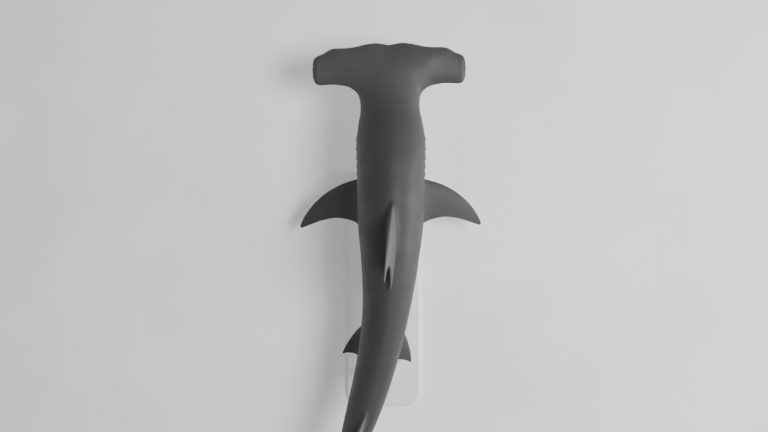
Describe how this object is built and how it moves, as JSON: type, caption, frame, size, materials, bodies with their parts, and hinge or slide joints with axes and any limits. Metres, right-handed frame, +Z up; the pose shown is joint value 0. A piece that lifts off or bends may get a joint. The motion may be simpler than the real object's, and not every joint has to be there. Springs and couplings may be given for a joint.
{
  "type": "hammerhead shark",
  "caption": "Life-size great hammerhead shark, gliding with its tail swept to its left, dark grey above and white below, on a flat display stand with short rods.",
  "frame": {"origin": "centre of the underside of the stand's base plate, on the floor", "axes": "+Z up; the head points to -Y and the tail to +Y; +X is the shark's left side"},
  "size_m": [0.9788, 2.9012, 1.1303],
  "materials": {
    "skin": "painted resin, satin, dark grey above and white on the belly",
    "eye": "glossy cast resin, near black",
    "base": "satin off-white paint",
    "rod": "turned and brushed"
  },
  "bodies": {
    "root": {"head": "skin", "gill_region": "skin", "trunk": "skin", "tail_front": "skin", "tail_rear": "skin", "caudal_upper_lobe": "skin", "caudal_lower_lobe": "skin", "first_dorsal_fin": "skin", "second_dorsal_fin": "skin", "anal_fin": "skin", "pectoral_fin_left": "skin", "pectoral_fin_right": "skin", "pelvic_fin_left": "skin", "pelvic_fin_right": "skin", "eye_left": "eye", "eye_right": "eye", "stand_base": "base", "stand_rod_front": "rod", "stand_rod_rear": "rod"}
  },
  "joints": []
}
